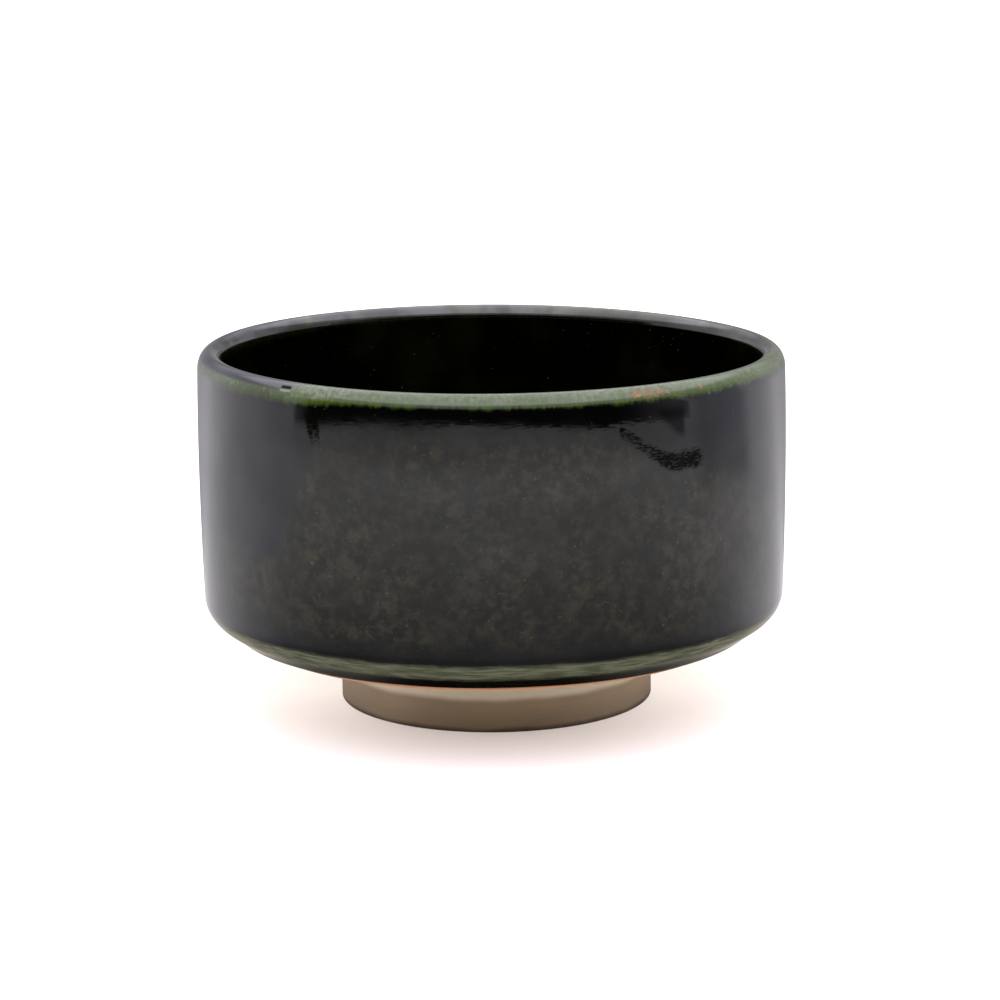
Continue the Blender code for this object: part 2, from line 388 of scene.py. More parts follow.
def make_foot_ring(material):
    """Bare ring: softened lower edges, upright side with turning marks, cove up to the underside."""
    cove_end = math.asin((FOOT_TOP - COVE_START_HEIGHT) / COVE_RADIUS)
    cove = arc((FOOT_RADIUS + COVE_RADIUS, COVE_START_HEIGHT), (COVE_RADIUS, COVE_RADIUS),
               math.pi - cove_end, math.pi, COVE_STEPS)
    rounding = (FOOT_EDGE_ROUND, FOOT_EDGE_ROUND)
    outer_edge = arc((FOOT_RADIUS - FOOT_EDGE_ROUND, FOOT_EDGE_ROUND), rounding,
                     0, -QUARTER_TURN, EDGE_STEPS)
    bore_edge = arc((FOOT_BORE_RADIUS + FOOT_EDGE_ROUND, FOOT_EDGE_ROUND), rounding,
                    -QUARTER_TURN, -math.pi, EDGE_STEPS)
    bore_top = np.array([FOOT_BORE_RADIUS - FOOT_BORE_TAPER, FOOT_TOP])
    outline = np.concatenate([
        cove,
        line(cove[-1], outer_edge[0], FOOT_SIDE_STEPS),
        outer_edge,
        line(outer_edge[-1], bore_edge[0], FOOT_BASE_STEPS),
        bore_edge,
        line(bore_edge[-1], bore_top, FOOT_BORE_STEPS),
        [bore_top],
        line(bore_top, cove[0], FOOT_TOP_STEPS),
    ])
    marks = turning_marks(outline[:, 1:], FOOT_MARK_SPACING, FOOT_MARK_DEPTH, 41)
    marks = marks * smooth_step(outline[:, 1:], *FOOT_MARK_LOWER_FADE)
    turned("foot_ring", swept(outline, marks) + FOOT_SHIFT, True, material)


def make_luting_slip(material):
    """The seam under the bowl, squeezed out into a small soft bead on both sides of the ring."""
    inner_radius = FOOT_BORE_RADIUS - FOOT_BORE_TAPER
    middle = (FOOT_TOP + UNDERSIDE_HEIGHT) / 2
    radii = (SLIP_SQUEEZE, (UNDERSIDE_HEIGHT - FOOT_TOP) / 2 + SLIP_SWELL)
    outer_bead = arc((SEAM_RADIUS - SLIP_OVERHANG, middle), radii,
                     QUARTER_TURN, -QUARTER_TURN, BEAD_STEPS)
    inner_bead = arc((inner_radius + SLIP_OVERHANG, middle), radii,
                     -QUARTER_TURN, -3 * QUARTER_TURN, BEAD_STEPS)
    outline = np.concatenate([outer_bead, inner_bead])
    unevenness = SLIP_UNEVENNESS * ripple(ANGLES, (3, 5, 9, 14, 22), 51)[None, :]
    turned("luting_slip", swept(outline, unevenness) + FOOT_SHIFT, True, material)


# ---------------------------------------------------------------- node helpers

class Nodes:
    """Short calls for the nodes used here, on a material's tree or the world's."""

    def __init__(self, tree):
        self.tree = tree

    def add(self, kind, inputs=None, **settings):
        """Adds a node of a kind, with its settings and what its inputs get."""
        node = self.tree.nodes.new("ShaderNode" + kind)
        for name, value in settings.items():
            setattr(node, name, value)
        for name, value in (inputs or {}).items():
            self.feed(node.inputs[name], value)
        return node

    def feed(self, socket, value):
        """Gives an input another node's output, a colour of three parts or a plain value."""
        if isinstance(value, bpy.types.NodeSocket):
            self.tree.links.new(value, socket)
        elif socket.type == "RGBA":
            socket.default_value = (*value, 1.0)
        else:
            socket.default_value = value

    def math(self, operation, first, second=0.0):
        return self.add("Math", {0: first, 1: second}, operation=operation).outputs[0]

    def vector(self, operation, *values):
        """The vector that an operation on one or two vectors gives."""
        return self.add("VectorMath", dict(enumerate(values)), operation=operation).outputs[0]

    def length(self, vector):
        return self.add("VectorMath", {0: vector}, operation="LENGTH").outputs["Value"]

    def product(self, first, *others):
        for other in others:
            first = self.math("MULTIPLY", first, other)
        return first

    def total(self, first, *others):
        for other in others:
            first = self.math("ADD", first, other)
        return first

    def greatest(self, first, *others):
        for other in others:
            first = self.math("MAXIMUM", first, other)
        return first

    def less(self, first, second):
        """The first value less the second."""
        return self.math("SUBTRACT", first, second)

    def rise(self, value, low, high, start=0.0, end=1.0):
        """A smooth rise from start to end while the value goes from low to high."""
        node = self.add("MapRange", {"Value": value, "From Min": low, "From Max": high,
                                     "To Min": start, "To Max": end},
                        interpolation_type="SMOOTHSTEP")
        return node.outputs["Result"]

    def patch(self, value, low, high, fade):
        """1 while the value is between low and high, fading to 0 outside."""
        return self.product(self.rise(value, low - fade, low), self.rise(value, high + fade, high))

    def mix(self, factor, first, second):
        """The first colour where the factor is 0, the second where it is 1."""
        node = self.add("Mix", {0: factor, 6: first, 7: second}, data_type="RGBA", clamp_result=False)
        return node.outputs[2]

    def mix_value(self, factor, first, second):
        """The first value where the factor is 0, the second where it is 1."""
        return self.add("Mix", {0: factor, 2: first, 3: second}, data_type="FLOAT").outputs[0]


class Shader(Nodes):
    """A material's node tree, with the places on the bowl that its look depends on."""

    def __init__(self, name):
        self.material = bpy.data.materials.new(name)
        self.material.use_nodes = True
        super().__init__(self.material.node_tree)
        self.place = self.add("TexCoord").outputs["Object"]
        parts = self.add("SeparateXYZ", {"Vector": self.place})
        self.height = parts.outputs["Z"]
        self.side = parts.outputs["X"]
        self.radius = self.length(self.vector("MULTIPLY", self.place, (1, 1, 0)))
        self.turn = self.math("ARCTAN2", self.side, self.product(parts.outputs["Y"], -1.0))
        self.turn_size = self.math("ABSOLUTE", self.turn)

    def noise(self, size, detail=2.0, stretch=(1, 1, 1), shift=0.0, roughness=0.5):
        """Noise with features of a size in metres, stretched by a factor along each axis."""
        scale = tuple(1 / (size * factor) for factor in stretch)
        moved = self.add("Mapping", {"Vector": self.place, "Location": (shift, shift, shift),
                                     "Scale": scale})
        node = self.add("TexNoise", {"Vector": moved.outputs[0], "Scale": 1.0, "Detail": detail,
                                     "Roughness": roughness})
        return node.outputs["Fac"]

    def blots(self, size, low, high, start=0.0, end=1.0, **noise):
        """Blots of a size: the rise from start to end while the noise goes from low to high."""
        return self.rise(self.noise(size, **noise), low, high, start, end)

    def waver(self, size, width, **noise):
        """A wandering offset about 0, across a width in all."""
        return self.product(self.less(self.noise(size, **noise), 0.5), width)

    def bump(self, height, distance, normal=None):
        """The surface's normal over a relief, whose height of 1 stands for the distance."""
        inputs = {"Height": height, "Distance": distance}
        if normal is not None:
            inputs["Normal"] = normal
        return self.add("Bump", inputs).outputs["Normal"]

    def finish(self, **inputs):
        """Sets the surface's inputs; a name's underscores stand for spaces."""
        surface = self.tree.nodes["Principled BSDF"]
        for name, value in inputs.items():
            self.feed(surface.inputs[name.replace("_", " ")], value)
        return self.material


# ---------------------------------------------------------------- glaze

GLAZE_IOR = 1.5

# Colours of the coats
INSIDE_BLACK = (0.0003, 0.0003, 0.0001)
INSIDE_OLIVE = (0.0022, 0.0024, 0.0004)
DOUBLE_COAT = (0.0008, 0.0008, 0.0009)
# Painted reflection: a faint purple standing for the tent's tint mirrored on both flanks
FLANK_PAINTED_REFLECTION_TINT = (0.0006, 0.0002, 0.0028)
SINGLE_COAT = (0.0026, 0.0024, 0.0010)
OLIVE_CLOUD = (0.0145, 0.0145, 0.0070)
PALE_SPECK = (0.028, 0.032, 0.017)
SCRATCH = (0.003, 0.001, 0.001)
PIT = (0.0, 0.0, 0.0)
RAGGED = (0.0012, 0.0013, 0.0005)

# Colours where the coat is thin, and of the lip's marks
LIP_GREEN = (0.024, 0.043, 0.0035)
LIP_MOTTLE_DARK = (0.042, 0.059, 0.024)
LIP_MOTTLE_PALE = (0.110, 0.122, 0.078)
LIP_OLIVE = (0.060, 0.084, 0.026)
INNER_LIP_GREEN = (0.024, 0.032, 0.007)
ARRIS_GREEN_DARK = (0.044, 0.050, 0.026)
ARRIS_GREEN_PALE = (0.100, 0.104, 0.062)
RUST = (0.18, 0.062, 0.012)
# The chip: a painted glint under it and painted shade in its hollow
CHIP_GLINT = (0.11, 0.13, 0.09)
CHIP_HOLLOW_PAINTED_SHADE = (0.001, 0.001, 0.001)

# Where the second coat ends: its height at the front, and how far it drops over each span of turns
OVERLAP_HEIGHT = 66.4 * MM
OVERLAP_DROPS = (
    (19 * DEGREE, 36 * DEGREE, 8.7 * MM),
    (43 * DEGREE, 72 * DEGREE, 11.3 * MM),
    (-31 * DEGREE, -47 * DEGREE, 26 * MM),
    (-90 * DEGREE, -170 * DEGREE, -6 * MM),
)
OVERLAP_WANDER = 1.2 * MM

# The ragged stretch of that edge at the front right, and the one run at the left that leans with height
RAGGED_START = (22.5 * DEGREE, 24.0 * DEGREE)
RAGGED_END = (45.0 * DEGREE, 40.0 * DEGREE)
RAGGED_WIDENING = (24 * DEGREE, 37 * DEGREE)
RAGGED_HALF_WIDTHS = (2.3 * MM, 3.7 * MM)
RAGGED_STRENGTHENING = (28 * DEGREE, 34 * DEGREE)
RAGGED_STRENGTHS = (0.80, 1.0)
HATCH_WEIGHT = 4.6
WORN_WEIGHT = 1.9
HATCH_LIMIT = -3.35
RUN_TURNS = (-35.0 * DEGREE, -33.2 * DEGREE)
RUN_FADE = 1.3 * DEGREE
RUN_LEAN = 0.18 * DEGREE / MM
RUN_LEAN_HEIGHT = 63 * MM
RUN_BOTTOM = (58.5 * MM, 64.5 * MM)
RUN_TOP = (69.5 * MM, 67.5 * MM)
RUN_STRENGTH = 0.86

# The hooked smear beside the ragged stretch, which leans with height too
HOOK_START = (33.6 * DEGREE, 36.2 * DEGREE)
HOOK_END = (38.2 * DEGREE, 37.0 * DEGREE)
HOOK_LEAN = 0.9 * DEGREE / MM
HOOK_LEAN_HEIGHT = 64 * MM
HOOK_HEIGHTS = (63.8 * MM, 67.0 * MM)
HOOK_FADE = 2.2 * MM
HOOK_STRENGTH = 0.72

# Lip: how far the drips and the green's edge wander, the heights over which each colour comes in, and turns
DRIP_LENGTH = 1.7 * MM
GREEN_WANDER = 1.0 * MM
LEFT_RISE = 1.1 * MM
GREEN_HEIGHTS = (BOWL_HEIGHT - 1.60 * MM, BOWL_HEIGHT - 0.45 * MM)
PALE_HEIGHTS = (BOWL_HEIGHT - 0.60 * MM, BOWL_HEIGHT + 0.55 * MM)
DARK_CREST_HEIGHTS = (BOWL_HEIGHT - 1.7 * MM, BOWL_HEIGHT - 0.9 * MM)
INNER_GREEN_HEIGHTS = (BOWL_HEIGHT - 1.7 * MM, BOWL_HEIGHT - 0.8 * MM)
CREST_SHINE_HEIGHTS = (BOWL_HEIGHT - 3.0 * MM, BOWL_HEIGHT - 2.0 * MM)
SHOULDER_RADII = (CREST_RADIUS - 0.5 * MM, CREST_RADIUS + 0.3 * MM)
SHOULDER_LOWEST = 0.12
INNER_LIP_RADII = (CREST_RADIUS + 0.3 * MM, CREST_RADIUS - 0.6 * MM)
AHEAD_TURNS = (165 * DEGREE, 110 * DEGREE)
LEFT_RISE_TURNS = (-20 * DEGREE, -38 * DEGREE)
LEFT_TURNS = (-33 * DEGREE, -46 * DEGREE)
RIGHT_TURNS = (36 * DEGREE, 52 * DEGREE)
MIDDLE_TURNS = (-19 * DEGREE, -10 * DEGREE)
MIDDLE_FADE = 6 * DEGREE
RIGHT_DIMMING = 0.4
MIDDLE_DIMMING = 0.34
LEFT_DIMMING = 0.5
LEFT_GREEN_DIMMING = 0.45
FAR_RIGHT_TURNS = (138 * DEGREE, 158 * DEGREE)
FAR_RIGHT_FADE = 6 * DEGREE

# Marks on the lip: turns, heights and how far they fade
RUST_TURNS = (27.3 * DEGREE, 33.2 * DEGREE)
RUST_HEIGHTS = (71.0 * MM, 72.0 * MM)
RUST_FADES = (2 * DEGREE, 0.4 * MM)
SPOT_TURNS = (42.3 * DEGREE, 42.6 * DEGREE)
SPOT_HEIGHTS = (71.2 * MM, 71.4 * MM)
SPOT_FADES = (0.4 * DEGREE, 0.2 * MM)
CHIP_TURNS = (-42.6 * DEGREE, -40.6 * DEGREE)
CHIP_GLINT_HEIGHTS = (71.05 * MM, 71.25 * MM)
CHIP_PAINTED_SHADE_HEIGHTS = (71.55 * MM, 71.9 * MM)
CHIP_FADES = (0.6 * DEGREE, 0.2 * MM)

# Arris at the bottom corner
ARRIS_HEIGHTS = (18.0 * MM, 19.8 * MM)
ARRIS_FADE = 1.3 * MM
ARRIS_WANDER = 0.9 * MM
ARRIS_RADII = (50 * MM, 52 * MM)

# Where the outside begins, and the single coat with its clouds: below the overlap, above the arris
OUTSIDE_RADII = (57.6 * MM, 58.4 * MM)
SINGLE_COAT_DEPTHS = (-0.5 * MM, 5 * MM)
SINGLE_COAT_HEIGHTS = (21 * MM, 27 * MM)
CLOUD_THINNING_HEIGHTS = (66 * MM, 40 * MM)
CLOUD_THINNING = 0.85
# Turns over which the flanks take the painted reflection tint
PAINTED_TINT_FLANK_TURNS = (34 * DEGREE, 50 * DEGREE)

# Surface
SKIN_RELIEF = 0.0014 * MM
PIT_RELIEF = -0.05 * MM
DULLNESS = 0.93
PALE_DULLNESS = 0.65
WALL_SHINE = 1.05
CREST_SHINE = 1.40


def spot(s, height, turns, heights, fades):
    """A mark on the lip, within a span of turns and one of heights."""
    return s.product(s.patch(s.turn, *turns, fades[0]), s.patch(height, *heights, fades[1]))


def overlap_line(s):
    """Height of the edge of the second glaze coat: high across the front, low at the sides and back."""
    drops = [s.rise(s.turn, start, end, 0, drop) for start, end, drop in OVERLAP_DROPS]
    wander = s.waver(7 * MM, OVERLAP_WANDER, detail=3.0, shift=4.1)
    return s.less(OVERLAP_HEIGHT, s.total(*drops, wander))


def ragged_edge(s, below):
    """Where the glaze is ragged and dull: the second coat's edge at the front right, and one run."""
    half = s.rise(s.turn, *RAGGED_WIDENING, *RAGGED_HALF_WIDTHS)
    bell = s.rise(s.math("DIVIDE", s.math("ABSOLUTE", below), half), 1.0, 0.20)
    stretch = s.product(s.rise(s.turn, *RAGGED_START), s.rise(s.turn, *RAGGED_END))
    strength = s.rise(s.turn, *RAGGED_STRENGTHENING, *RAGGED_STRENGTHS)
    ridge = s.product(bell, stretch, strength)
    lean = s.product(s.less(s.height, RUN_LEAN_HEIGHT), RUN_LEAN)
    run = s.product(s.patch(s.total(s.turn, lean), *RUN_TURNS, RUN_FADE),
                    s.rise(s.height, *RUN_BOTTOM), s.rise(s.height, *RUN_TOP), RUN_STRENGTH)
    worn = s.greatest(ridge, run)
    hatch = s.noise(1.0 * MM, detail=4.0, stretch=(1, 1, 0.20), shift=5.9, roughness=0.75)
    spread = s.total(s.product(worn, WORN_WEIGHT), s.product(hatch, HATCH_WEIGHT), HATCH_LIMIT)
    return s.product(s.rise(spread, 0.0, 0.80), s.rise(worn, 0.0, 0.15))


def hooked_smear(s, outside):
    """A dull hook-shaped smear at the front right, above the ragged edge."""
    lean = s.product(s.less(s.height, HOOK_LEAN_HEIGHT), HOOK_LEAN)
    return s.product(s.rise(s.total(s.turn, lean), *HOOK_START), s.rise(s.turn, *HOOK_END),
                     s.patch(s.height, *HOOK_HEIGHTS, HOOK_FADE), outside, HOOK_STRENGTH)


def coat_color(s, outside, below, pits):
    """Near black, with a painted reflection tint of purple on both flanks outside; the single coat outside
    shows soft olive clouds, pale specks, scratches and pits.
    """
    single = s.product(s.rise(below, *SINGLE_COAT_DEPTHS), s.rise(s.height, *SINGLE_COAT_HEIGHTS))
    patches = s.blots(11 * MM, 0.32, 0.66, 0.45, 1.0, shift=0.3)
    thinning = s.rise(s.height, *CLOUD_THINNING_HEIGHTS, CLOUD_THINNING, 1.0)
    dense = s.product(single, patches, thinning)
    color = s.mix(outside, INSIDE_BLACK, DOUBLE_COAT)
    # Painted reflection tint on the outside's flanks
    flank = s.rise(s.turn_size, *PAINTED_TINT_FLANK_TURNS)
    color = s.mix(s.product(flank, outside), color, FLANK_PAINTED_REFLECTION_TINT)
    shade = s.blots(14 * MM, 0.45, 0.70, detail=3.0, shift=5.1)
    color = s.mix(s.product(shade, s.less(1.0, outside)), color, INSIDE_OLIVE)
    color = s.mix(s.product(single, outside), color, SINGLE_COAT)
    clouds = s.blots(2.6 * MM, 0.40, 0.66, detail=5.0, roughness=0.68)
    color = s.mix(s.product(clouds, dense), color, OLIVE_CLOUD)
    specks = s.blots(0.75 * MM, 0.62, 0.84, detail=1.0, shift=0.7)
    color = s.mix(s.product(specks, dense), color, PALE_SPECK)
    scratches = s.blots(7 * MM, 0.70, 0.78, stretch=(1, 1, 0.06), shift=2.9)
    color = s.mix(s.product(scratches, dense, 0.8), color, SCRATCH)
    return s.mix(s.product(pits, outside), color, PIT)


def lip_color(s, color, lip_height):
    """The outer shoulder thins to green in drips, then to a finely mottled pale green, given as well."""
    drips = s.product(s.noise(0.8 * MM, stretch=(1, 1, 5), shift=1.1), DRIP_LENGTH)
    wander = s.product(s.noise(5 * MM, shift=1.7), GREEN_WANDER)
    ahead = s.rise(s.turn_size, *AHEAD_TURNS)
    leftward = s.product(s.rise(s.turn, *LEFT_RISE_TURNS, 0.0, LEFT_RISE), ahead)
    level = s.total(lip_height, s.total(drips, wander), leftward)
    left = s.product(s.rise(s.turn, *LEFT_TURNS), ahead)
    shoulder = s.rise(s.radius, *SHOULDER_RADII, SHOULDER_LOWEST, 1.0)
    dark_crest = s.product(left, s.rise(lip_height, *DARK_CREST_HEIGHTS))
    shoulder = s.product(shoulder, s.less(1.0, dark_crest))

    green_dimming = s.less(1.0, s.product(left, LEFT_GREEN_DIMMING))
    green = s.product(s.rise(level, *GREEN_HEIGHTS), shoulder, green_dimming)
    thin = s.blots(13 * MM, 0.35, 0.65, 0.50, 1.0, shift=9.3)
    dim = s.total(s.rise(s.turn, *RIGHT_TURNS, 0.0, RIGHT_DIMMING),
                  s.product(s.patch(s.turn, *MIDDLE_TURNS, MIDDLE_FADE), MIDDLE_DIMMING),
                  s.product(left, LEFT_DIMMING))
    pale = s.product(s.rise(level, *PALE_HEIGHTS), shoulder, thin, s.less(1.0, s.product(dim, ahead)))

    mottle = s.blots(0.9 * MM, 0.30, 0.70, detail=4.0, stretch=(1, 1, 1.5), shift=2.3, roughness=0.6)
    cream = s.mix(mottle, LIP_MOTTLE_DARK, LIP_MOTTLE_PALE)
    olive = s.blots(2.2 * MM, 0.45, 0.70, detail=3.0, shift=6.6)
    cream = s.mix(s.product(olive, 0.60), cream, LIP_OLIVE)
    return s.mix(pale, s.mix(green, color, LIP_GREEN), cream), pale


def inner_lip_color(s, color, within):
    """The inner edge of the lip is faintly green in places."""
    faint = s.blots(9 * MM, 0.46, 0.60, shift=3.3)
    return s.mix(s.product(faint, within, s.rise(s.height, *INNER_GREEN_HEIGHTS)), color, INNER_LIP_GREEN)


def lip_marks(s, color, lip_height, outside):
    """Rust spots and one small chip on the lip, with a painted glint under it and painted shade in its
    hollow; the hollow's mask is given as well.
    """
    cluster = spot(s, lip_height, RUST_TURNS, RUST_HEIGHTS, RUST_FADES)
    single = spot(s, lip_height, SPOT_TURNS, SPOT_HEIGHTS, SPOT_FADES)
    rust = s.greatest(s.product(s.blots(0.55 * MM, 0.44, 0.62, shift=5.3), cluster), single)
    color = s.mix(s.product(rust, outside, 0.85), color, RUST)
    # Painted glint under the chip
    color = s.mix(spot(s, lip_height, CHIP_TURNS, CHIP_GLINT_HEIGHTS, CHIP_FADES), color, CHIP_GLINT)
    # Painted shade in the chip's hollow; the same mask dulls the glaze
    hollow = spot(s, lip_height, CHIP_TURNS, CHIP_PAINTED_SHADE_HEIGHTS, CHIP_FADES)
    return s.mix(hollow, color, CHIP_HOLLOW_PAINTED_SHADE), hollow


def arris_color(s, color):
    """The same thinning in level lines round the bottom corner, dark again below it."""
    bottom = s.rise(s.radius, *ARRIS_RADII)
    level = s.total(s.height, s.waver(6 * MM, ARRIS_WANDER, shift=3.1))
    band = s.product(s.patch(level, *ARRIS_HEIGHTS, ARRIS_FADE), bottom)
    lines = s.blots(5 * MM, 0.36, 0.66, detail=3.0, stretch=(1, 1, 0.09), shift=3.9)
    return s.mix(band, color, s.mix(lines, ARRIS_GREEN_DARK, ARRIS_GREEN_PALE))


def glaze_normal(s, outside, ragged, pits):
    """A glassy skin: very slightly uneven, tilted up along fine level lines and where it is ragged."""
    hatch = s.waver(2.2 * MM, 0.010, detail=3.0, stretch=(1, 1, 0.15), shift=8.8)
    tilt = s.product(s.total(s.product(ragged, 0.012), hatch), outside)
    upward = s.add("CombineXYZ", {"Z": tilt}).outputs[0]
    facing = s.add("NewGeometry").outputs["Normal"]
    facing = s.vector("NORMALIZE", s.vector("ADD", facing, upward))
    normal = s.bump(s.noise(1.3 * MM, shift=6.1), SKIN_RELIEF, normal=facing)
    return s.bump(pits, PIT_RELIEF, normal=normal)


def glaze_shine(s, within, dull):
    """How strongly the glaze mirrors: in slow patches, stronger along the crest, weak where dull."""
    shine = s.blots(9 * MM, 0.3, 0.7, 0.45, 0.54, detail=3.0, shift=9.9)
    veiled = s.blots(8 * MM, 0.36, 0.54, 0.50, 0.0, shift=12.2)
    veiled = s.greatest(veiled, s.product(s.patch(s.turn, *FAR_RIGHT_TURNS, FAR_RIGHT_FADE), 0.50))
    on_crest = s.product(within, s.rise(s.height, *CREST_SHINE_HEIGHTS))
    shine = s.product(shine, s.mix_value(on_crest, WALL_SHINE, s.less(CREST_SHINE, veiled)))
    return s.product(shine, s.less(1.0, s.product(dull, DULLNESS)))


def glaze_material():
    """Black-green glaze: olive clouds in its depth, breaking to pale green at the lip and the arris."""
    s = Shader("dark_green_glaze")
    outside = s.rise(s.radius, *OUTSIDE_RADII)
    within = s.rise(s.radius, *INNER_LIP_RADII)
    below = s.less(overlap_line(s), s.height)
    lip_height = s.total(s.height, s.product(s.side, LIP_TILT / WALL_RADIUS))
    pits = s.blots(0.55 * MM, 0.84, 0.88, detail=0.0, shift=7.7)

    color = coat_color(s, outside, below, pits)
    color, pale = lip_color(s, color, lip_height)
    color = inner_lip_color(s, color, within)
    color, chip = lip_marks(s, color, lip_height, outside)
    color = arris_color(s, color)
    ragged = s.product(ragged_edge(s, below), outside)
    color = s.mix(ragged, color, RAGGED)

    roughness = s.blots(12 * MM, 0.3, 0.7, 0.025, 0.05, detail=3.0, shift=8.1)
    dull = s.greatest(ragged, s.greatest(hooked_smear(s, outside), chip))
    dull = s.greatest(dull, s.product(pale, PALE_DULLNESS))
    return s.finish(Base_Color=color, Roughness=roughness, IOR=GLAZE_IOR,
                    Specular_IOR_Level=glaze_shine(s, within, dull),
                    Normal=glaze_normal(s, outside, ragged, pits))


# ---------------------------------------------------------------- bare clay

CLAY_IOR = 1.45
CLAY = (0.56, 0.46, 0.33)
FOOT_CLAY = (0.270, 0.196, 0.109)
# Painted light: the pale top strip under the bowl, for the light the cove catches
FOOT_CLAY_PAINTED_LIGHT = (0.56, 0.492, 0.333)
# Toasted clay at the resting edge, with a painted contact shadow
FOOT_BASE_TOAST_AND_SHADOW = (0.060, 0.038, 0.018)
FLASH_ORANGE = (0.49, 0.25, 0.11)
FLASH_BROWN = (0.20, 0.075, 0.030)
FRECKLE = (0.12, 0.075, 0.040)
FLASH_RADII = (47.9 * MM, 49.2 * MM)
FLASH_BROWN_HEIGHTS = (13.7 * MM, 14.3 * MM)
# Heights of the painted light, the painted shade and the toasted, shadowed base
FOOT_PAINTED_LIGHT_HEIGHTS = (5.9 * MM, 7.5 * MM)
FOOT_SHADE_HEIGHTS = (6.4 * MM, 0.5 * MM)
FOOT_BASE_TOAST_AND_SHADOW_HEIGHTS = (1.3 * MM, 0.2 * MM)
CLAY_WANDER = 0.8 * MM
GRAIN_RELIEF = 0.04 * MM
SCRAPE_RELIEF = 0.04 * MM


def darker(color, share):
    """A colour at a share of its brightness."""
    return tuple(share * value for value in color)


def clay_clouds(s, tone, clay):
    """Fired clay, a little darker in slow clouds."""
    return s.mix(s.rise(tone, 0.35, 0.65), darker(clay, 0.90), clay)


def clay_wander(s):
    """How far the borders between the clay's colours wander."""
    return s.waver(9 * MM, CLAY_WANDER, detail=1.0, shift=0.9)


def gritty_clay(s, color, clay, tone):
    """Finishes a bare clay material: fine grit, freckles, a dry grain and level scrape marks."""
    fine = s.blots(0.35 * MM, 0.50, 0.80, 0.0, 0.22, detail=3.0, shift=1.9, roughness=0.7)
    color = s.mix(fine, color, darker(clay, 0.6))
    freckles = s.blots(1.1 * MM, 0.72, 0.84, detail=1.0, shift=2.9)
    color = s.mix(s.product(freckles, 0.35), color, FRECKLE)
    grain = s.noise(0.30 * MM, detail=4.0, shift=3.7, roughness=0.7)
    scrape = s.noise(4.8 * MM, stretch=(1, 1, 0.08), shift=4.3)
    normal = s.bump(scrape, SCRAPE_RELIEF, normal=s.bump(grain, GRAIN_RELIEF))
    roughness = s.rise(tone, 0.3, 0.7, 0.70, 0.85)
    return s.finish(Base_Color=color, Roughness=roughness, IOR=CLAY_IOR, Normal=normal)


def body_clay_material():
    """The underside's warm clay, flashed orange beside the glaze and brown just under it."""
    s = Shader("bare_clay")
    tone = s.noise(9 * MM, detail=4.0)
    flash = s.rise(s.total(s.radius, clay_wander(s)), *FLASH_RADII)
    color = s.mix(flash, clay_clouds(s, tone, CLAY), FLASH_ORANGE)
    color = s.mix(s.rise(s.height, *FLASH_BROWN_HEIGHTS), color, FLASH_BROWN)
    return gritty_clay(s, color, CLAY, tone)


def foot_clay_material():
    """The foot's clay: paler under the bowl, where painted light stands for the table's light on the cove;
    darker downwards, a painted shade; and darkest where it rests, toasted clay with a painted contact
    shadow.
    """
    s = Shader("foot_clay")
    tone = s.noise(9 * MM, detail=4.0)
    level = s.total(s.height, clay_wander(s))
    # Painted light on the top strip under the bowl
    color = s.mix(s.rise(level, *FOOT_PAINTED_LIGHT_HEIGHTS), clay_clouds(s, tone, FOOT_CLAY), FOOT_CLAY_PAINTED_LIGHT)
    # Painted shade, darkening the clay downwards
    lower = s.rise(s.height, *FOOT_SHADE_HEIGHTS, 0.0, 0.45)
    color = s.mix(lower, color, darker(FOOT_CLAY, 0.45))
    # Toasted clay and painted contact shadow where it rests
    color = s.mix(s.rise(level, *FOOT_BASE_TOAST_AND_SHADOW_HEIGHTS), color, FOOT_BASE_TOAST_AND_SHADOW)
    return gritty_clay(s, color, FOOT_CLAY, tone)


def slip_material():
    """The seam's slip, the same clay as the body's."""
    s = Shader("slip")
    tone = s.noise(9 * MM, detail=4.0)
    return gritty_clay(s, clay_clouds(s, tone, CLAY), CLAY, tone)


# ---------------------------------------------------------------- studio

# "Forward" is the cosine of a level direction's angle from the camera's side, "side" its share to the
# right, "up" a direction's share upwards. Light levels are beside a plain wall's 1.
WALL_GREY = (1.0, 0.968, 1.095)
SEEN_WHITE = (1.1, 1.1, 1.1)
LEFT_TO_RIGHT = (-0.05, 0.05)
OPENING_COSINE = math.cos(76.3 * DEGREE)
OPENING_EDGE = 0.02
BACK_WALL_SPAN = (-0.66, -1.0)
BACK_WALL_LEVEL = 0.36
LEFT_GLOW_SPAN = (-0.30, -0.55)
LEFT_GLOW_LEVEL = 1.12
RIGHT_SHADE_SPAN = (-0.23, 0.12)
RIGHT_SHADE_FADE = 0.15
RIGHT_SHADE_DEPTH = 0.34
LEFT_LEAK_SPAN = (0.38, 0.22)
LEFT_LEAK_LEVEL = 0.30
RIGHT_LEAK_SPAN = (0.72, 0.25)
RIGHT_LEAK_LEVEL = 0.36

# The roof, and the light on dull surfaces that falls from the sides only
UPPER_WALL_SPAN = (0.42, 0.24)
ROOF_EDGE_SPAN = (0.48, 0.64)
ROOF_DEPTH_SPAN = (0.10, 0.75)
ROOF_LEVELS = (3.5, 2.6)
SIDE_FILL_SPAN = (0.5, 0.3)
SIDE_FILL_GAIN = 7.5
SIDE_FILL_DROP = 0.28

# The table as the camera sees it
TABLE_HALF_WIDTH = 6.0
TABLE_LIT = (0.50, 0.46, 0.43)
TABLE_BOUNCE = (0.75, 0.74, 0.73)
TABLE_GLOW = (1.0, 0.91, 0.84)
TABLE_GLOW_BASE = 0.352
TABLE_GLOW_GAIN = 0.40
TABLE_GLOW_LIMIT = 0.757

